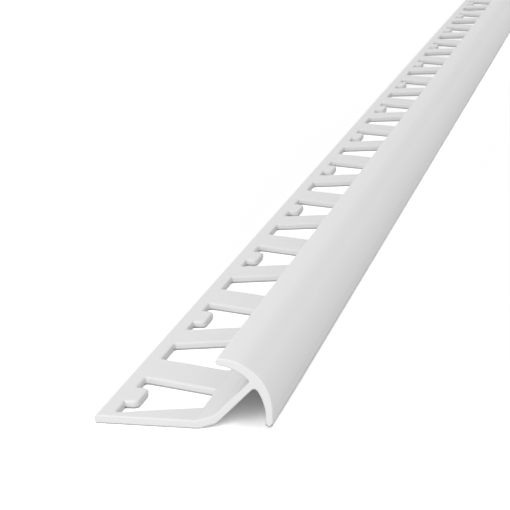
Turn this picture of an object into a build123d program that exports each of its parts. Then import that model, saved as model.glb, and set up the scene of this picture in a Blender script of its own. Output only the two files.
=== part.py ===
"""Outside-corner tile guard: one extruded PVC profile with a punched bedding flange.

The section is drawn in X and Z and runs along Y. The flange lies on the wall at Z = 0, a web rises
from it at an angle, and the web carries a quarter-round nose that covers the corner of the tiles.
The holes alternate along the flange, so that the adhesive that fills them keys both ways.
"""

import os
from math import cos, floor, radians, sin, sqrt

from build123d import *

# Driving dimensions, in millimetres and degrees.
stock_length = 1000.0
overall_width = 24.6
overall_height = 10.0

flange_thickness = 1.2
heel_width = 16.0  # free edge of the flange to the corner where the undersides of flange and web meet
edge_radius = 0.4  # rounding of the flange's free edge
bend_start = 1.6  # that corner to the start of the slanted bend, along the flange's underside
bend_end = 1.2  # that corner to the end of the slanted bend, along the web's underside
bend_corner_radius = 1.0

web_thickness = 1.05
web_angle = 45.5

nose_radius = 7.25
nose_wall_crown = 1.35  # wall of the nose half way round
nose_wall_end = 1.0  # wall of the lip and of the leg, whose ends are fully rounded
lip_run = 0.1  # straight run of the lip before its rounded end
leg_lift = 0.8  # height of the leg's tip above the flange's underside
root_radius = 0.6  # fillets where the web runs into the nose

hole_pitch = 44.4  # from one tongued hole to the next
plain_hole_offset = 23.0  # from a tongued hole to the plain one after it
first_hole = 10.7  # near end of the stock to the middle of the first tongued hole
hole_margin = 2.45  # free edge of the flange to the holes
hole_depth = 11.2  # across the flange
hole_wide = 17.5
hole_narrow = 8.9
hole_corner_radius = 0.4
tongue_width = 6.7
tongue_length = 1.9
tongue_radius = 1.0
end_margin = 1.0  # least plastic between the last hole and the far end of the stock
punch_overrun = 1.0  # how far the punch passes the two faces of the flange
same_point = 0.001  # two drawn points closer than this are one

# Places that follow from them.
free_edge_x = -overall_width / 2
nose_face_x = overall_width / 2
near_end_y = -stock_length / 2
hole_edge_x = free_edge_x + hole_margin
nose_centre = Vector(nose_face_x - nose_radius, overall_height - nose_radius)
heel = Vector(free_edge_x + heel_width, 0)
web_run = Vector(cos(radians(web_angle)), sin(radians(web_angle)))
web_across = Vector(-web_run.Y, web_run.X)


def corner_at(shape, point):
    """The vertex of a flat shape that lies at the given point."""
    return shape.vertices().sort_by_distance((point.X, point.Y, 0))[0]


def nose_section():
    """Quarter-round band, thickest half way round, with a round-ended lip at its top and leg at its foot."""
    half_wall = nose_wall_end / 2
    crown_inside = nose_centre + Vector(1, 1).normalized() * (nose_radius - nose_wall_crown)
    lip_start = Vector(nose_centre.X, overall_height)
    lip_start_inside = lip_start - Vector(0, nose_wall_end)
    leg_start = Vector(nose_face_x, nose_centre.Y)
    leg_start_inside = leg_start - Vector(nose_wall_end, 0)
    outside = CenterArc(nose_centre, nose_radius, 0, 90)
    inside = ThreePointArc(lip_start_inside, crown_inside, leg_start_inside)
    crescent = make_face([
        outside,
        Line(lip_start, lip_start_inside),
        inside,
        Line(leg_start_inside, leg_start),
    ])
    lip_end = Pos(nose_centre.X - lip_run, overall_height - half_wall)
    lip = lip_end * Rectangle(lip_run, nose_wall_end, align=(Align.MIN, Align.CENTER))
    leg_tip = Pos(nose_face_x - half_wall, leg_lift + half_wall)
    leg_length = nose_centre.Y - leg_lift - half_wall
    leg = leg_tip * Rectangle(nose_wall_end, leg_length, align=(Align.CENTER, Align.MIN))
    round_end = Circle(half_wall)
    return crescent + lip + leg + lip_end * round_end + leg_tip * round_end


def flange_and_web_section():
    """Flat flange, a slanted bend as thick as the flange, and the web up to the middle of the nose's wall."""
    wall_middle = nose_radius - nose_wall_crown / 2
    from_centre = heel - nose_centre
    along = from_centre.dot(web_run)
    web_length = -along + sqrt(along**2 - from_centre.dot(from_centre) + wall_middle**2)
    web_end = heel + web_run * web_length
    web_end_top = web_end + web_across * web_thickness
    bend_foot = heel - Vector(bend_start, 0)
    bend_head = heel + web_run * bend_end
    bend_run = (bend_head - bend_foot).normalized()
    bend_across = Vector(-bend_run.Y, bend_run.X)
    above_foot = bend_foot + bend_across * flange_thickness
    bend_foot_top = above_foot + bend_run * ((flange_thickness - above_foot.Y) / bend_run.Y)
    back_to_bend = (above_foot - web_end_top).dot(bend_across) / web_run.dot(bend_across)
    bend_head_top = web_end_top + web_run * back_to_bend
    outline = [
        Vector(free_edge_x, 0),
        bend_foot,
        bend_head,
        web_end,
        web_end_top,
        bend_head_top,
        bend_foot_top,
        Vector(free_edge_x, flange_thickness),
    ]
    strip = Polygon(*[(point.X, point.Y) for point in outline])
    for corner in (bend_foot, bend_head, bend_head_top, bend_foot_top):
        strip = fillet(corner_at(strip, corner), bend_corner_radius)
    return fillet(strip.vertices().group_by(Axis.X)[0], edge_radius)


def guard_section():
    """The whole section, with fillets in the two corners where the web meets the nose."""
    nose = nose_section()
    strip = flange_and_web_section()
    section = nose + strip
    drawn = nose.vertices() + strip.vertices()
    roots = [v for v in section.vertices() if min(v.distance_to(d) for d in drawn) > same_point]
    return fillet(roots, root_radius)


def dovetail_hole(outer_width, inner_width):
    """Outline of a hole: outer_width at the flange's free edge, inner_width at the web."""
    inner_x = hole_edge_x + hole_depth
    outline = Polygon(
        (hole_edge_x, -outer_width / 2),
        (inner_x, -inner_width / 2),
        (inner_x, inner_width / 2),
        (hole_edge_x, outer_width / 2),
    )
    return fillet(outline.vertices(), hole_corner_radius)


def tongued_hole():
    """Outline of a hole that is wide at the free edge, where a rounded tongue reaches into it."""
    tongue = Pos(hole_edge_x, 0) * Rectangle(2 * tongue_length, tongue_width)
    tongue = fillet(tongue.vertices(), tongue_radius)
    return dovetail_hole(hole_wide, hole_narrow) - tongue


def punched(outline, first_y):
    """Punches for one row of like holes, a pitch apart from first_y to the far end of the stock."""
    room = -near_end_y - end_margin - outline.bounding_box().size.Y / 2 - first_y
    count = floor(room / hole_pitch) + 1
    punch = extrude(outline, flange_thickness + 2 * punch_overrun)
    return [Pos(0, first_y + i * hole_pitch, -punch_overrun) * punch for i in range(count)]


def corner_guard():
    """The extruded section with both rows of holes punched through its flange."""
    bar = extrude(Plane.XZ * guard_section(), stock_length / 2, both=True)
    first_y = near_end_y + first_hole
    tongued = punched(tongued_hole(), first_y)
    plain = punched(dovetail_hole(hole_narrow, hole_wide), first_y + plain_hole_offset)
    return bar - tongued - plain


os.makedirs("parts", exist_ok=True)
export_step(corner_guard(), "parts/corner_guard.step")
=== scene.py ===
"""Looks of a white PVC corner guard for the outside corner of a tiled wall.

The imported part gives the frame. The script models the same piece again as a finer mesh, with smooth
rounds, broken edges and punched rims, gives it a satin PVC finish, and sets the studio and the camera.
All lengths are in metres, in the frame of the part: +X from flange to nose, +Y along the stock, +Z up.
"""

from __future__ import annotations

import logging
import math
from dataclasses import dataclass
from enum import Enum
from typing import Any, Sequence, Union

import bmesh
import bpy
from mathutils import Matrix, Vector

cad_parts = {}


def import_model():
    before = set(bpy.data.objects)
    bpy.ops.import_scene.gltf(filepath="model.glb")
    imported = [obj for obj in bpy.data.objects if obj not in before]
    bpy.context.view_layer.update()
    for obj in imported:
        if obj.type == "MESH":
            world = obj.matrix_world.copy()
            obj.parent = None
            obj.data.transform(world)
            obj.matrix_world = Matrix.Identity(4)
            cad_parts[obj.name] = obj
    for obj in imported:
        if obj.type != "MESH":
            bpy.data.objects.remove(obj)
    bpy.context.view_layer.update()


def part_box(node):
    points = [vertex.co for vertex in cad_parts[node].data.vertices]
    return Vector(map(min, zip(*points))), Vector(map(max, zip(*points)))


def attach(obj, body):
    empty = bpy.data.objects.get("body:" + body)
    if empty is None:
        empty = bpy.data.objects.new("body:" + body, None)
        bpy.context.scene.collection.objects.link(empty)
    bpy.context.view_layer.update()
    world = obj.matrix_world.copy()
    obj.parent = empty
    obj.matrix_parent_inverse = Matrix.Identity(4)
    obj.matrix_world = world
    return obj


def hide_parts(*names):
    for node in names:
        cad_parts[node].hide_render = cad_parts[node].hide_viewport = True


LOG = logging.getLogger("corner_guard")
NODE = "corner_guard"
BODY = "root"

SAME_POINT = 5e-7  # two points closer than this are one
CUT_LAYER = "cut"  # how freshly cut a face looks, up to 1
PAINTED_SHADE_LAYER = "painted_edge_shade"  # how much shade is painted on a face that looks down, up to 1
NOISE_MIDDLE = 0.5  # the value about which a noise pattern varies
ACROSS_STOCK = (1.0, 0.0, 1.0)  # a scale that leaves out the place along the stock
FOCUS_DEPTH = 0.05  # from the near end to the point about which lamp and floor are set

Triple = tuple[float, float, float]
Colour = tuple[float, float, float, float]


class HoleKind(Enum):
    """The two kinds of hole that take turns along the flange."""

    TONGUED = "tongued"
    PLAIN = "plain"


class Pen:
    """Draws a closed wire of straight runs and arcs in a bmesh."""

    def __init__(self, bm: bmesh.types.BMesh, start: Vector, normal: Vector, arc_error: float) -> None:
        """Puts the pen down.

        Args:
            bm: The mesh to draw in.
            start: The first point.
            normal: The side from which a positive turn runs counter-clockwise.
            arc_error: How far the chords of an arc may lie inside it.
        """
        self.bm = bm
        self.normal = normal
        self.arc_error = arc_error
        self.first = bm.verts.new(start)
        self.tip = self.first

    def line_to(self, point: Vector) -> None:
        """Draws a straight run.

        Args:
            point: Where the run ends.
        """
        if (point - self.tip.co).length > SAME_POINT:
            made = bmesh.ops.extrude_vert_indiv(self.bm, verts=[self.tip])
            self.tip = made["verts"][0]
            self.tip.co = point

    def turn_about(self, centre: Vector, angle: float) -> None:
        """Draws an arc from the tip.

        Args:
            centre: The arc's centre.
            angle: The turn in radians, counter-clockwise seen from the normal's side.
        """
        radius = (self.tip.co - centre).length
        step = 2 * math.acos(1 - self.arc_error / radius)
        made = bmesh.ops.spin(
            self.bm,
            geom=[self.tip],
            cent=centre,
            axis=self.normal,
            angle=angle,
            steps=math.ceil(abs(angle) / step),
            use_duplicate=False,
        )
        self.tip = next(item for item in made["geom_last"] if isinstance(item, bmesh.types.BMVert))

    def arc_to(self, centre: Vector, end: Vector) -> None:
        """Draws the shorter arc about a centre.

        Args:
            centre: The arc's centre.
            end: Where the arc ends.
        """
        start_spoke = self.tip.co - centre
        end_spoke = end - centre
        turn = start_spoke.angle(end_spoke)
        side = self.normal.dot(start_spoke.cross(end_spoke))
        self.turn_about(centre, math.copysign(turn, side))
        self.tip.co = end

    def round_corner(self, corner: Vector, towards: Vector, radius: float) -> None:
        """Draws up to a corner and round it.

        Args:
            corner: The sharp corner that the arc replaces.
            towards: A point on the run that leaves the corner.
            radius: The arc's radius.
        """
        back = (self.tip.co - corner).normalized()
        ahead = (towards - corner).normalized()
        half_angle = back.angle(ahead) / 2
        side = self.normal.dot(ahead.cross(back))
        centre = corner + (back + ahead).normalized() * (radius / math.sin(half_angle))
        self.line_to(corner + back * (radius / math.tan(half_angle)))
        self.turn_about(centre, math.copysign(math.pi - 2 * half_angle, side))

    def close(self) -> list[bmesh.types.BMEdge]:
        """Joins the tip to the first point.

        Returns:
            The edges of the whole wire.
        """
        if (self.tip.co - self.first.co).length > SAME_POINT:
            bmesh.ops.contextual_create(self.bm, geom=[self.tip, self.first])
        else:
            bmesh.ops.weld_verts(self.bm, targetmap={self.tip: self.first})
        return self._wire_from(self.first)

    @staticmethod
    def _wire_from(start: bmesh.types.BMVert) -> list[bmesh.types.BMEdge]:
        """Walks round a closed wire.

        Args:
            start: A vertex of the wire.

        Returns:
            The wire's edges, in order.
        """
        edges = [start.link_edges[0]]
        vert = edges[0].other_vert(start)
        while vert is not start:
            edges.append(next(edge for edge in vert.link_edges if edge is not edges[-1]))
            vert = edges[-1].other_vert(vert)
        return edges


@dataclass(frozen=True)
class Section:
    """The extruded section, drawn in X and Z."""

    left: float
    right: float
    height: float
    flange_thickness: float = 0.0012
    heel_width: float = 0.0160  # free edge of the flange to the heel
    edge_radius: float = 0.0004  # rounding of the flange's free edge
    bend_start: float = 0.0016  # heel to the start of the slanted bend, along the flange's underside
    bend_end: float = 0.0012  # heel to the end of the slanted bend, along the web's underside
    bend_corner_radius: float = 0.0010
    web_thickness: float = 0.00105
    web_angle: float = math.radians(45.5)
    nose_radius: float = 0.00725
    nose_wall_crown: float = 0.00135  # wall of the nose half way round
    nose_wall_end: float = 0.0010  # wall of the lip and of the leg, whose ends are fully rounded
    lip_run: float = 0.0001  # straight run of the lip before its rounded end
    leg_lift: float = 0.0008  # height of the leg's tip above the flange's underside
    root_radius: float = 0.0003  # fillet between the web's top and the nose
    under_root_radius: float = 0.0005  # fillet between the web's underside and the nose
    arc_error: float = 0.000002

    @staticmethod
    def at(x: float, z: float) -> Vector:
        """A point of the section."""
        return Vector((x, 0.0, z))

    @property
    def heel(self) -> Vector:
        """The corner where the undersides of flange and web would meet."""
        return self.at(self.left + self.heel_width, 0.0)

    @property
    def web_run(self) -> Vector:
        """The direction in which the web rises."""
        return self.at(math.cos(self.web_angle), math.sin(self.web_angle))

    @property
    def web_across(self) -> Vector:
        """The direction from the web's underside to its top."""
        return self.at(-math.sin(self.web_angle), math.cos(self.web_angle))

    @property
    def web_top_foot(self) -> Vector:
        """The point of the web's top across from the heel."""
        return self.heel + self.web_across * self.web_thickness

    @property
    def bend_under(self) -> tuple[Vector, Vector]:
        """The two corners of the slanted bend's underside, the flange's first."""
        return self.heel - self.at(self.bend_start, 0.0), self.heel + self.web_run * self.bend_end

    @property
    def bend_top(self) -> tuple[Vector, Vector]:
        """Finds the two corners of the slanted bend's top.

        Returns:
            The corner at the flange, and the corner at the web.
        """
        foot, head = self.bend_under
        run = (head - foot).normalized()
        across = self.at(-run.z, run.x)
        above = foot + across * self.flange_thickness
        climb = (above - self.web_top_foot).dot(across) / self.web_run.dot(across)
        foot_top = above + run * ((self.flange_thickness - above.z) / run.z)
        return foot_top, self.web_top_foot + self.web_run * climb

    @property
    def nose_centre(self) -> Vector:
        """The centre of the nose's outer round."""
        return self.at(self.right - self.nose_radius, self.height - self.nose_radius)

    @property
    def hollow(self) -> tuple[Vector, float]:
        """Finds the nose's inner round, which leaves the wall thickest at the crown.

        Returns:
            Its centre, and its radius.
        """
        end_depth = self.nose_radius - self.nose_wall_end
        crown_depth = self.nose_radius - self.nose_wall_crown
        shift = (end_depth**2 - crown_depth**2) / (2 * math.sqrt(2) * crown_depth - 2 * end_depth)
        return self.nose_centre - self.at(shift, shift), crown_depth + math.sqrt(2) * shift

    @property
    def inner_corner(self) -> Vector:
        """The point in the corner between web and lip about which shade is painted."""
        on_web, centre, on_nose = self.root(self.web_top_foot, self.web_across, self.root_radius)
        return centre + (2 * centre - on_web - on_nose).normalized() * self.nose_wall_end

    @property
    def leg_middle_x(self) -> float:
        """Where the middle of the leg's wall lies."""
        return self.right - self.nose_wall_end / 2

    @property
    def flat_start_x(self) -> float:
        """Where the flange's flats start, beside its rounded free edge."""
        return self.left + self.edge_radius

    def root(self, foot: Vector, outward: Vector, radius: float) -> tuple[Vector, Vector, Vector]:
        """Finds the fillet where a face of the web runs into the nose.

        Args:
            foot: A point on that face of the web.
            outward: The direction that the face looks in.
            radius: The fillet's radius.

        Returns:
            The fillet's end on the web, its centre, and its end on the nose's inner round.
        """
        hollow_centre, hollow_radius = self.hollow
        step = outward * radius
        spoke = foot + step - hollow_centre
        along = spoke.dot(self.web_run)
        reach = math.sqrt(along**2 - spoke.length_squared + (hollow_radius - radius) ** 2) - along
        on_web = foot + self.web_run * reach
        centre = on_web + step
        on_nose = hollow_centre + (centre - hollow_centre).normalized() * hollow_radius
        return on_web, centre, on_nose

    def draw(self, bm: bmesh.types.BMesh) -> list[bmesh.types.BMEdge]:
        """Draws the section as a closed wire.

        Args:
            bm: The mesh to draw in.

        Returns:
            The wire's edges.
        """
        wall = self.nose_wall_end
        tip_radius = wall / 2
        hollow_centre, _ = self.hollow
        lip_end_x = self.nose_centre.x - self.lip_run - tip_radius
        under = self.height - wall
        inside = self.right - wall
        pen = Pen(bm, self.at(self.flat_start_x, 0.0), Vector((0.0, -1.0, 0.0)), self.arc_error)
        bend_foot, bend_head = self.bend_under
        pen.round_corner(bend_foot, bend_head, self.bend_corner_radius)
        pen.round_corner(bend_head, bend_head + self.web_run, self.bend_corner_radius)
        on_web, root_centre, on_nose = self.root(self.heel, -self.web_across, self.under_root_radius)
        pen.line_to(on_web)
        pen.arc_to(root_centre, on_nose)
        pen.arc_to(hollow_centre, self.at(inside, self.nose_centre.z))
        pen.round_corner(self.at(inside, self.leg_lift), self.at(self.right, self.leg_lift), tip_radius)
        pen.round_corner(self.at(self.right, self.leg_lift), self.at(self.right, self.height), tip_radius)
        pen.round_corner(self.at(self.right, self.height), self.at(self.left, self.height), self.nose_radius)
        pen.round_corner(self.at(lip_end_x, self.height), self.at(lip_end_x, under), tip_radius)
        pen.round_corner(self.at(lip_end_x, under), self.at(self.right, under), tip_radius)
        pen.line_to(self.at(self.nose_centre.x, under))
        on_web, root_centre, on_nose = self.root(self.web_top_foot, self.web_across, self.root_radius)
        pen.arc_to(hollow_centre, on_nose)
        pen.arc_to(root_centre, on_web)
        flange_end = self.at(self.left, self.flange_thickness)
        bend_foot, bend_head = self.bend_top
        pen.round_corner(bend_head, bend_foot, self.bend_corner_radius)
        pen.round_corner(bend_foot, flange_end, self.bend_corner_radius)
        pen.round_corner(flange_end, self.at(self.left, 0.0), self.edge_radius)
        pen.round_corner(self.at(self.left, 0.0), self.heel, self.edge_radius)
        return pen.close()


@dataclass(frozen=True)
class PunchedHoles:
    """The dovetail holes in the flange, for the adhesive."""

    pitch: float = 0.0444  # from one tongued hole to the next
    plain_offset: float = 0.0230  # from a tongued hole to the plain one after it
    first: float = 0.0107  # near end of the stock to the middle of the first tongued hole
    margin: float = 0.00245  # free edge of the flange to the holes
    depth: float = 0.0112  # across the flange
    wide: float = 0.0175
    narrow: float = 0.0089
    corner_radius: float = 0.0004
    tongue_width: float = 0.0067
    tongue_length: float = 0.0019
    tongue_radius: float = 0.0010
    rim_top: float = 0.00036  # rounding of the upper rims, about as wide as the flange's flat has room for
    rim_under: float = 0.0003  # rounding of the lower rims
    rim_segments: int = 4
    wall_mark: float = 0.3  # how freshly cut the walls look
    arc_error: float = 0.000004

    @property
    def cell(self) -> float:
        """The stretch of flange that belongs to one hole."""
        return self.pitch / 2

    @property
    def lead_in(self) -> float:
        """Where the first cell starts, from the near end of the stock."""
        return self.first - self.cell / 2

    def middle(self, kind: HoleKind) -> float:
        """Where the first hole of a kind has its middle, from the near end of the stock."""
        return self.first if kind is HoleKind.TONGUED else self.first + self.plain_offset

    def pitches(self, length: float) -> int:
        """How many pitches it takes to cover a length of stock."""
        return math.ceil((length - self.lead_in) / self.pitch)

    def draw(self, bm: bmesh.types.BMesh, kind: HoleKind, beside: Vector) -> list[bmesh.types.BMEdge]:
        """Draws the outline of a hole as a closed wire.

        Args:
            bm: The mesh to draw in.
            kind: Which hole.
            beside: The point of the flange's free edge, level with its top, beside the middle of the hole.

        Returns:
            The wire's edges.
        """
        outer, inner = (self.wide, self.narrow) if kind is HoleKind.TONGUED else (self.narrow, self.wide)
        across = Vector((1.0, 0.0, 0.0))
        along = Vector((0.0, 1.0, 0.0))
        near = beside + across * self.margin
        far = near + across * self.depth
        tongue_half = self.tongue_width / 2 * along
        start = near - tongue_half if kind is HoleKind.TONGUED else near
        pen = Pen(bm, start, Vector((0.0, 0.0, 1.0)), self.arc_error)
        pen.round_corner(near - along * outer / 2, far - along * inner / 2, self.corner_radius)
        pen.round_corner(far - along * inner / 2, far, self.corner_radius)
        pen.round_corner(far + along * inner / 2, near + along * outer / 2, self.corner_radius)
        pen.round_corner(near + along * outer / 2, near, self.corner_radius)
        if kind is HoleKind.TONGUED:
            tip = near + across * self.tongue_length
            pen.line_to(near + tongue_half)
            pen.round_corner(tip + tongue_half, tip, self.tongue_radius)
            pen.round_corner(tip - tongue_half, near - tongue_half, self.tongue_radius)
        return pen.close()


@dataclass
class CornerGuard:
    """The whole piece: one extrusion, sawn to length and punched."""

    section: Section
    holes: PunchedHoles
    near_y: float
    far_y: float
    end_break: float = 0.0002  # rounding of the sawn ends' edges
    end_segments: int = 3
    sharp_angle: float = math.radians(40.0)  # edges that turn by more are shaded sharp
    low_normal_z: float = -0.02  # a rounded edge looks down where its normal is lower than this
    sawn_mark: float = 1.0  # how freshly cut the sawn ends look
    rim_painted_shade: float = 0.65  # how dark the shade painted on the flange's low edges is
    leg_painted_shade: float = 1.0  # how dark the shade painted on the leg's tip is

    def build(self) -> bpy.types.Object:
        """Models the piece.

        Returns:
            The finished object, at the origin.
        """
        bm = bmesh.new()
        for layer in (CUT_LAYER, PAINTED_SHADE_LAYER):
            bm.faces.layers.float.new(layer)
        self._make_module(bm)
        self._repeat_module(bm)
        broken = self._saw_ends(bm)
        # shade is painted on the leg's tip and on the sawn ends' low edges
        self._paint_shade_on_leg_and_ends(bm, broken)
        self._set_shading(bm)
        mesh = bpy.data.meshes.new("guard_profile")
        bm.to_mesh(mesh)
        bm.free()
        guard = bpy.data.objects.new("guard_profile", mesh)
        bpy.context.scene.collection.objects.link(guard)
        weighted = guard.modifiers.new("flat_faces_stay_flat", "WEIGHTED_NORMAL")
        weighted.keep_sharp = True
        return guard

    def dress(self, guard: bpy.types.Object, material: bpy.types.Material) -> None:
        """Gives the piece its material and ties it to the frame.

        Args:
            guard: The finished object.
            material: The plastic.
        """
        guard.data.materials.append(material)
        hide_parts(NODE)
        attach(guard, BODY)

    @staticmethod
    def _everything(bm: bmesh.types.BMesh) -> list[Any]:
        """All vertices, edges and faces of the mesh."""
        return list(bm.verts) + list(bm.edges) + list(bm.faces)

    @staticmethod
    def _round_edges(
        bm: bmesh.types.BMesh, edges: Sequence[bmesh.types.BMEdge], width: float, segments: int
    ) -> list[bmesh.types.BMFace]:
        """Rounds sharp edges.

        Args:
            bm: The mesh.
            edges: The edges to round.
            width: How far the rounding reaches on each side.
            segments: How many flats it has.

        Returns:
            The faces of the rounding.
        """
        made = bmesh.ops.bevel(
            bm,
            geom=edges,
            offset=width,
            segments=segments,
            profile=0.5,
            affect="EDGES",
            material=-1,
        )
        return made["faces"]

    @staticmethod
    def _push(
        bm: bmesh.types.BMesh, edges: Sequence[bmesh.types.BMEdge], step: Vector
    ) -> tuple[list[bmesh.types.BMEdge], list[bmesh.types.BMFace]]:
        """Extrudes edges and moves the new ones.

        Args:
            bm: The mesh.
            edges: The edges to extrude.
            step: How far the new edges lie from the old.

        Returns:
            The new edges, and the new faces.
        """
        made = bmesh.ops.extrude_edge_only(bm, edges=list(edges))["geom"]
        verts = [item for item in made if isinstance(item, bmesh.types.BMVert)]
        bmesh.ops.translate(bm, verts=verts, vec=step)
        new = set(verts)
        moved = [item for item in made if isinstance(item, bmesh.types.BMEdge) and set(item.verts) <= new]
        walls = [item for item in made if isinstance(item, bmesh.types.BMFace)]
        return moved, walls

    def _make_module(self, bm: bmesh.types.BMesh) -> None:
        """Extrudes one pitch of the section, with a tongued and a plain hole.

        Args:
            bm: The empty mesh.
        """
        ring = self.section.draw(bm)
        bmesh.ops.translate(bm, verts=bm.verts, vec=(0.0, self.near_y + self.holes.lead_in, 0.0))
        for _ in HoleKind:
            ring, _walls = self._push(bm, ring, Vector((0.0, self.holes.cell, 0.0)))
        for kind in HoleKind:
            self._punch(bm, kind, self.near_y + self.holes.middle(kind))

    def _punch(self, bm: bmesh.types.BMesh, kind: HoleKind, middle_y: float) -> None:
        """Cuts a hole through the flange.

        Args:
            bm: The mesh.
            kind: Which hole.
            middle_y: The place of its middle along the stock.
        """
        top_z = self.section.flange_thickness
        probe_x = self.section.flat_start_x + self.holes.depth / 2
        flats = [self._flat_at(bm, Vector((probe_x, middle_y, z))) for z in (top_z, 0.0)]
        borders = [list(flat.edges) for flat in flats]
        bmesh.ops.delete(bm, geom=flats, context="FACES_ONLY")
        top_rim = self.holes.draw(bm, kind, Vector((self.section.left, middle_y, top_z)))
        under_rim, walls = self._push(bm, top_rim, Vector((0.0, 0.0, -top_z)))
        cut = bm.faces.layers.float[CUT_LAYER]
        for wall in walls:
            wall[cut] = self.holes.wall_mark
        for border, rim, up in zip(borders, (top_rim, under_rim), (1.0, -1.0)):
            bmesh.ops.triangle_fill(bm, use_beauty=True, edges=border + rim, normal=(0.0, 0.0, up))
        bmesh.ops.recalc_face_normals(bm, faces=bm.faces)
        for rim, width in ((top_rim, self.holes.rim_top), (under_rim, self.holes.rim_under)):
            rounding = self._round_edges(bm, rim, width, self.holes.rim_segments)
            # the rounded rims that look down get painted shade
            self._paint_shade_on_downward_faces(bm, rounding, self.rim_painted_shade)

    @staticmethod
    def _flat_at(bm: bmesh.types.BMesh, point: Vector) -> bmesh.types.BMFace:
        """The face whose middle lies nearest to a point."""
        return min(bm.faces, key=lambda face: (face.calc_center_median() - point).length)

    def _repeat_module(self, bm: bmesh.types.BMesh) -> None:
        """Lines up copies of the module along the stock and joins them.

        Args:
            bm: The mesh, which holds the module alone.
        """
        module = self._everything(bm)
        for place in range(1, self.holes.pitches(self.far_y - self.near_y)):
            copy = bmesh.ops.duplicate(bm, geom=module)["geom"]
            verts = [item for item in copy if isinstance(item, bmesh.types.BMVert)]
            bmesh.ops.translate(bm, verts=verts, vec=(0.0, place * self.holes.pitch, 0.0))
        bmesh.ops.remove_doubles(bm, verts=bm.verts, dist=SAME_POINT)

    def _saw_ends(self, bm: bmesh.types.BMesh) -> list[bmesh.types.BMFace]:
        """Brings the stock to its length, closes both ends and breaks their edges.

        Args:
            bm: The mesh.

        Returns:
            The faces of the broken edges.
        """
        for end_y, outward in ((self.near_y, -1.0), (self.far_y, 1.0)):
            bmesh.ops.bisect_plane(
                bm,
                geom=self._everything(bm),
                dist=SAME_POINT,
                plane_co=Vector((0.0, end_y, 0.0)),
                plane_no=Vector((0.0, outward, 0.0)),
                clear_outer=True,
            )
        rings = [edge for edge in bm.edges if edge.is_boundary]
        cut = bm.faces.layers.float[CUT_LAYER]
        for cap in bmesh.ops.edgeloop_fill(bm, edges=rings)["faces"]:
            cap[cut] = self.sawn_mark
        bmesh.ops.recalc_face_normals(bm, faces=bm.faces)
        return self._round_edges(bm, rings, self.end_break, self.end_segments)

    def _paint_shade_on_leg_and_ends(self, bm: bmesh.types.BMesh, broken: Sequence[bmesh.types.BMFace]) -> None:
        """Paints shade on the leg's tip and on the lowest edge of each sawn end.

        Args:
            bm: The mesh.
            broken: The faces of the ends' broken edges.
        """
        tip_x = self.section.right - self.section.nose_wall_end
        tip_z = self.section.leg_lift + self.section.nose_wall_end / 2
        middles = [(face, face.calc_center_median()) for face in bm.faces]
        leg_tip = [face for face, middle in middles if middle.x > tip_x and middle.z < tip_z]
        low_break = [face for face in broken if face.calc_center_median().z < self.end_break]
        self._paint_shade_on_downward_faces(bm, leg_tip, self.leg_painted_shade)
        self._paint_shade_on_downward_faces(bm, low_break, self.rim_painted_shade)

    def _paint_shade_on_downward_faces(
        self, bm: bmesh.types.BMesh, faces: Sequence[bmesh.types.BMFace], painted_shade: float
    ) -> None:
        """Marks the faces that look down with painted shade.

        Args:
            bm: The mesh.
            faces: The faces of rounded edges.
            painted_shade: How dark the painted shade is, up to 1.
        """
        painted_edge_shade = bm.faces.layers.float[PAINTED_SHADE_LAYER]
        bm.normal_update()
        for face in faces:
            if face.normal.z < self.low_normal_z:
                face[painted_edge_shade] = painted_shade

    def _set_shading(self, bm: bmesh.types.BMesh) -> None:
        """Shades the faces smooth and keeps sharp corners sharp.

        Args:
            bm: The mesh.
        """
        for face in bm.faces:
            face.smooth = True
        for edge in bm.edges:
            edge.smooth = edge.calc_face_angle(0.0) < self.sharp_angle


Value = Union[float, "Shade"]


class Shade:
    """A value in a shader tree, on which Python's operators add Math nodes."""

    def __init__(self, tree: ShaderTree, socket: bpy.types.NodeSocket) -> None:
        """Wraps an output socket of a node in the tree."""
        self.tree = tree
        self.socket = socket

    def _math(self, operation: str, *values: Value) -> Shade:
        """Adds a Math node for the values."""
        return self.tree.node("ShaderNodeMath", {"operation": operation}, dict(enumerate(values)))

    def __add__(self, other: Value) -> Shade:
        """This value plus another."""
        return self._math("ADD", self, other)

    __radd__ = __add__

    def __sub__(self, other: Value) -> Shade:
        """This value less another."""
        return self._math("SUBTRACT", self, other)

    def __rsub__(self, other: Value) -> Shade:
        """Another value less this one."""
        return self._math("SUBTRACT", other, self)

    def __mul__(self, other: Value) -> Shade:
        """This value times another."""
        return self._math("MULTIPLY", self, other)

    __rmul__ = __mul__

    def larger(self, other: Value) -> Shade:
        """The larger of this value and another."""
        return self._math("MAXIMUM", self, other)

    def smaller(self, other: Value) -> Shade:
        """The smaller of this value and another."""
        return self._math("MINIMUM", self, other)

    def within(self, low: Value, high: Value) -> Shade:
        """This value, held between two limits."""
        return self.larger(low).smaller(high)

    def beyond(self, other: Value) -> Shade:
        """One where this value is past another, else nought."""
        return self._math("GREATER_THAN", self, other)


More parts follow.
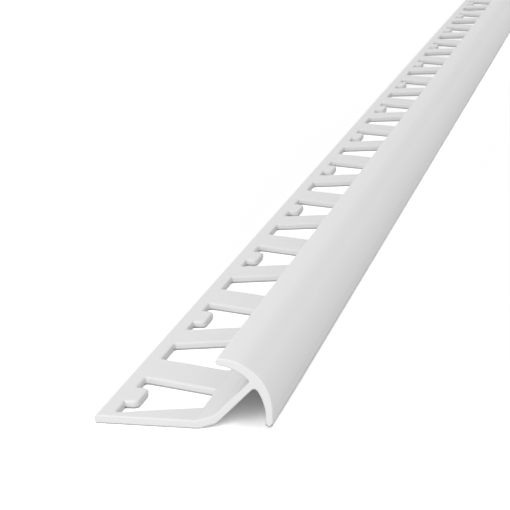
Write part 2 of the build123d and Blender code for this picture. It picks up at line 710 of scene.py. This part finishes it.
class ShaderTree:
    """Adds nodes to a material's or a world's tree."""

    def __init__(self, tree: bpy.types.NodeTree) -> None:
        """Starts on an empty tree."""
        self.tree = tree
        tree.nodes.clear()

    def node(self, kind: str, settings: dict[str, Any], inputs: dict[Any, Any], output: Any = 0) -> Shade:
        """Adds a node.

        Args:
            kind: The node's type.
            settings: Properties of the node, set before its sockets.
            inputs: Values or links by the socket's name or number.
            output: The name or number of the output that is returned.

        Returns:
            That output.
        """
        node = self.tree.nodes.new(kind)
        for name, value in settings.items():
            setattr(node, name, value)
        for key, value in inputs.items():
            if isinstance(value, Shade):
                self.tree.links.new(value.socket, node.inputs[key])
            else:
                node.inputs[key].default_value = value
        return Shade(self, node.outputs[output] if len(node.outputs) else None)

    def place(self) -> Shade:
        """Object coordinates."""
        return self.node("ShaderNodeTexCoord", {}, {}, "Object")

    def mark(self, layer: str) -> Shade:
        """The value that a layer of the mesh holds on each face."""
        return self.node("ShaderNodeAttribute", {"attribute_name": layer}, {}, "Fac")

    def distance(self, place: Shade, point: Vector) -> Shade:
        """How far the coordinates lie from a point."""
        return self.node("ShaderNodeVectorMath", {"operation": "DISTANCE"}, {0: place, 1: point}, "Value")

    def noise(self, place: Shade, stretch: Triple, detail: float) -> Shade:
        """Adds a noise pattern.

        Args:
            place: The coordinates.
            stretch: How many features a metre holds along X, Y and Z.
            detail: How many finer layers it has.

        Returns:
            A value that varies about NOISE_MIDDLE.
        """
        mapped = self.node("ShaderNodeMapping", {}, {"Vector": place, "Scale": stretch})
        return self.node("ShaderNodeTexNoise", {}, {"Vector": mapped, "Scale": 1.0, "Detail": detail}, "Fac")

    def mix(self, share: Shade, first: Union[Colour, Shade], second: Colour) -> Shade:
        """A colour that has a share of the second colour and else the first."""
        colours = {"Factor": share, "A": first, "B": second}
        return self.node("ShaderNodeMix", {"data_type": "RGBA"}, colours, "Result")

    def ray(self, kind: str) -> Shade:
        """One for the rays of a kind, such as Camera, else nought."""
        return self.node("ShaderNodeLightPath", {}, {}, f"Is {kind} Ray")

    def seen_ray(self) -> Shade:
        """One for the rays that show a thing to the camera, straight or in gloss or glass, else nought."""
        return self.ray("Camera").larger(self.ray("Glossy")).larger(self.ray("Transmission"))


@dataclass(frozen=True)
class PvcFinish:
    """Satin white PVC from the die, with cut faces, and shade painted on its low edges and in its inner
    corner.
    """

    corner: Vector  # the point of the section about which shade is painted
    name: str = "satin_white_pvc"
    dull: Colour = (0.775, 0.775, 0.775, 1.0)
    bright: Colour = (0.815, 0.815, 0.815, 1.0)
    cloud_share: float = 0.6  # of the tone, which otherwise follows the lines
    cut_tone: float = -0.45  # added to the tone of a freshly cut face, which is duller
    # the colour of the shade painted on low edges and in the inner corner
    painted_shade: Colour = (0.40, 0.40, 0.40, 1.0)
    # how dark the painted shade in the inner corner is, and how far from the corner point it reaches
    corner_painted_shade: float = 0.55
    corner_reach: float = 0.0027
    roughness: float = 0.40
    roughness_swing: float = 0.10
    cut_roughness: float = 0.18  # how much rougher a freshly cut face is
    die_lines: Triple = (2600.0, 4.0, 2600.0)
    saw_lines: Triple = (250.0, 900.0, 7000.0)
    line_detail: float = 2.0
    clouds: Triple = (70.0, 25.0, 70.0)
    cloud_detail: float = 3.0
    line_depth: float = 0.000012
    saw_depth: float = 0.00003
    gloss_ior: float = 1.53

    def material(self) -> bpy.types.Material:
        """Makes the material.

        Returns:
            A material whose colour, roughness and relief follow Object coordinates and the marked faces.
        """
        made = bpy.data.materials.new(self.name)
        made.use_nodes = True
        tree = ShaderTree(made.node_tree)
        place = tree.place()
        cut = tree.mark(CUT_LAYER)
        lines = tree.noise(place, self.die_lines, self.line_detail) * (1 - cut)
        saw = tree.noise(place, self.saw_lines, self.line_detail) * cut
        clouds = tree.noise(place, self.clouds, self.cloud_detail)
        streak = lines + saw
        tone = self.cloud_share * clouds + (1 - self.cloud_share) * streak + self.cut_tone * cut
        unshaded = tree.mix(tone, self.dull, self.bright)
        # mixes the painted shade into the colour
        colour = tree.mix(self._painted_shade_share(tree, place, cut), unshaded, self.painted_shade)
        rough = self.roughness + self.roughness_swing * (streak - NOISE_MIDDLE) + self.cut_roughness * cut
        relief = lines * self.line_depth + saw * self.saw_depth
        bump = tree.node("ShaderNodeBump", {}, {"Strength": 1.0, "Distance": 1.0, "Height": relief})
        plastic = tree.node(
            "ShaderNodeBsdfPrincipled",
            {},
            {"Base Color": colour, "Roughness": rough, "IOR": self.gloss_ior, "Normal": bump},
        )
        tree.node("ShaderNodeOutputMaterial", {}, {"Surface": plastic})
        return made

    def _painted_shade_share(self, tree: ShaderTree, place: Shade, cut: Shade) -> Shade:
        """Finds the shade painted on low edges and in the corner between web and lip.

        Args:
            tree: The material's tree.
            place: Object coordinates.
            cut: The mark of the cut faces, on which no shade is painted in the corner.

        Returns:
            The share of painted shade in the colour.
        """
        across = tree.node("ShaderNodeVectorMath", {"operation": "MULTIPLY"}, {0: place, 1: ACROSS_STOCK})
        # painted shade, darkest at the inner corner and gone at corner_reach from it
        corner_shade = (1 - tree.distance(across, self.corner) * (1 / self.corner_reach)).larger(0.0)
        return tree.mark(PAINTED_SHADE_LAYER).larger(corner_shade * self.corner_painted_shade * (1 - cut))


@dataclass(frozen=True)
class SoftBox:
    """A square studio lamp."""

    name: str
    aim: Vector
    offset: Vector  # from the point that it is aimed at to the lamp
    side: float
    watts: float

    def hang(self) -> None:
        """Puts the lamp in the scene."""
        light = bpy.data.lights.new(self.name, "AREA")
        light.shape = "SQUARE"
        light.size = self.side
        light.energy = self.watts
        lamp = bpy.data.objects.new(self.name, light)
        lamp.location = self.aim + self.offset
        lamp.rotation_euler = (-self.offset).to_track_quat("-Z", "Y").to_euler()
        bpy.context.scene.collection.objects.link(lamp)


@dataclass(frozen=True)
class Studio:
    """A white floor under soft light.

    The camera sees the shade on the floor fainter than it is: the floor's colour is lifted where the sky is
    shut off, and it has a faint glow. Neither adds diffuse light to the part.
    """

    focus: Vector  # the point of the floor about which lift and glow are set
    heel_x: float  # where the web's foot is
    leg_x: float  # where the leg is
    lamps: tuple[SoftBox, ...]
    floor_half: float = 4.0
    floor_albedo: Colour = (0.53, 0.53, 0.53, 1.0)
    glow: float = 0.095  # at the focus
    glow_climb: float = 0.3  # for each metre away from it
    most_glow: float = 0.33
    deep_shade: float = 0.22  # the open share of the sky below which the glow falls
    shade_reach: float = 0.06  # how far off a thing still shuts off sky
    shade_knee: float = 0.88  # the open share of the sky below which the colour is lifted
    shade_lift: float = 2.2
    most_lift: float = 0.70
    lift_end: float = 0.28  # how far from the focus the lift ends
    lift_fade: float = 0.12  # over what length it ends
    beside_lift: float = 2.0  # how many times the lift counts outside the leg
    wedge_lift: float = 1.0  # how many times more it counts beside the web's foot
    wedge_before: float = 0.0017  # the start of that wedge of floor to the heel
    wedge_after: float = 0.0041  # the heel to its end
    wedge_fade: float = 0.003
    sky: float = 0.76
    white: Colour = (1.0, 1.0, 1.0, 1.0)

    def build(self) -> None:
        """Makes the floor, the sky and the lamps."""
        self._floor()
        self._sky()
        for lamp in self.lamps:
            lamp.hang()
        bpy.context.scene.view_settings.view_transform = "Standard"

    def _floor(self) -> bpy.types.Object:
        """Lays a level sheet under the part.

        Returns:
            The sheet's object.
        """
        bm = bmesh.new()
        bmesh.ops.create_grid(bm, x_segments=1, y_segments=1, size=self.floor_half)
        mesh = bpy.data.meshes.new("studio_floor")
        bm.to_mesh(mesh)
        bm.free()
        mesh.materials.append(self._floor_material())
        floor = bpy.data.objects.new("studio_floor", mesh)
        bpy.context.scene.collection.objects.link(floor)
        return floor

    def _floor_material(self) -> bpy.types.Material:
        """Makes a pale grey that the camera sees as white, with the part's shade on it.

        Returns:
            The floor's material.
        """
        made = bpy.data.materials.new("studio_floor")
        made.use_nodes = True
        tree = ShaderTree(made.node_tree)
        place = tree.place()
        away = tree.distance(place, self.focus)
        open_sky = tree.node("ShaderNodeAmbientOcclusion", {}, {"Distance": self.shade_reach}, "AO")
        lift = (self.shade_lift * (self.shade_knee - open_sky)).within(0.0, self.most_lift)
        lifted = 1 + lift * tree.ray("Camera") * self._lift_share(tree, place, away)
        white = tree.node("ShaderNodeBsdfDiffuse", {}, {"Color": lifted})
        open_glow = (self.glow + self.glow_climb * away).smaller(self.most_glow)
        deep = (self.deep_shade - open_sky).larger(0.0)
        glow = tree.node("ShaderNodeEmission", {}, {"Color": open_glow * (1 - deep)})
        seen = tree.node("ShaderNodeAddShader", {}, {0: white, 1: glow})
        plain = tree.node("ShaderNodeBsdfDiffuse", {}, {"Color": self.floor_albedo})
        surface = tree.node("ShaderNodeMixShader", {}, {0: tree.seen_ray(), 1: plain, 2: seen})
        tree.node("ShaderNodeOutputMaterial", {}, {"Surface": surface})
        return made

    def _lift_share(self, tree: ShaderTree, place: Shade, away: Shade) -> Shade:
        """Finds how much the lift counts, which differs along the stock and on the sides of web and leg.

        Args:
            tree: The floor's tree.
            place: Object coordinates.
            away: The distance from the focus.

        Returns:
            The factor of the lift.
        """
        across = tree.node("ShaderNodeSeparateXYZ", {}, {"Vector": place}, "X")
        near = ((self.lift_end - away) * (1 / self.lift_fade)).within(0.0, 1.0)
        to_wedge_end = self.heel_x + self.wedge_after - across
        wedge = (to_wedge_end * (1 / self.wedge_fade)).within(0.0, 1.0)
        wedge = wedge * across.beyond(self.heel_x - self.wedge_before)
        inside = near * (1 + self.wedge_lift * wedge)
        return inside + across.beyond(self.leg_x) * (self.beside_lift - inside)

    def _sky(self) -> None:
        """Hangs an even white sky, full white where it is seen."""
        world = bpy.data.worlds.new("studio_sky")
        world.use_nodes = True
        bpy.context.scene.world = world
        tree = ShaderTree(world.node_tree)
        strength = self.sky + (1.0 - self.sky) * tree.seen_ray()
        light = tree.node("ShaderNodeBackground", {}, {"Color": self.white, "Strength": strength})
        tree.node("ShaderNodeOutputWorld", {}, {"Surface": light})


@dataclass(frozen=True)
class PhotoCamera:
    """The photograph's point of view, placed from the near end of the stock."""

    side: float = 0.05995  # from the middle of the stock's width
    back: float = 0.2634  # in front of the near end
    rise: float = 0.0855  # above the floor
    pitch: float = math.radians(12.84)  # how far it looks down
    yaw: float = math.radians(10.76)  # how far it is turned to the left
    focal_pixels: float = 2093.0
    frame_pixels: float = 510.0
    sensor_mm: float = 36.0
    clip_start: float = 0.01

    def place(self, near_y: float) -> bpy.types.Object:
        """Puts the camera in the scene.

        Args:
            near_y: Where the near end of the stock lies.

        Returns:
            The camera's object.
        """
        lens = bpy.data.cameras.new("photo_camera")
        lens.sensor_width = self.sensor_mm
        lens.lens = self.focal_pixels / self.frame_pixels * self.sensor_mm
        lens.clip_start = self.clip_start
        camera = bpy.data.objects.new("photo_camera", lens)
        camera.location = (self.side, near_y - self.back, self.rise)
        camera.rotation_euler = (math.pi / 2 - self.pitch, 0.0, self.yaw)
        bpy.context.scene.collection.objects.link(camera)
        bpy.context.scene.camera = camera
        return camera


def main() -> None:
    """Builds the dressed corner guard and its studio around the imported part."""
    logging.basicConfig(level=logging.INFO, format="%(name)s: %(message)s")
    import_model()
    low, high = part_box(NODE)
    section = Section(left=low.x, right=high.x, height=high.z)
    guard = CornerGuard(section=section, holes=PunchedHoles(), near_y=low.y, far_y=high.y)
    profile = guard.build()
    guard.dress(profile, PvcFinish(corner=section.inner_corner).material())
    LOG.info("%s has %d faces", profile.name, len(profile.data.polygons))
    focus = Vector((0.0, low.y + FOCUS_DEPTH, 0.0))
    key = SoftBox("key_lamp", aim=focus, offset=Vector((-0.03, -0.75, 0.33)), side=0.42, watts=2.9)
    Studio(focus=focus, heel_x=section.heel.x, leg_x=section.leg_middle_x, lamps=(key,)).build()
    camera = PhotoCamera().place(near_y=low.y)
    LOG.info("%s looks at the near end", camera.name)


if __name__ == "__main__":
    main()
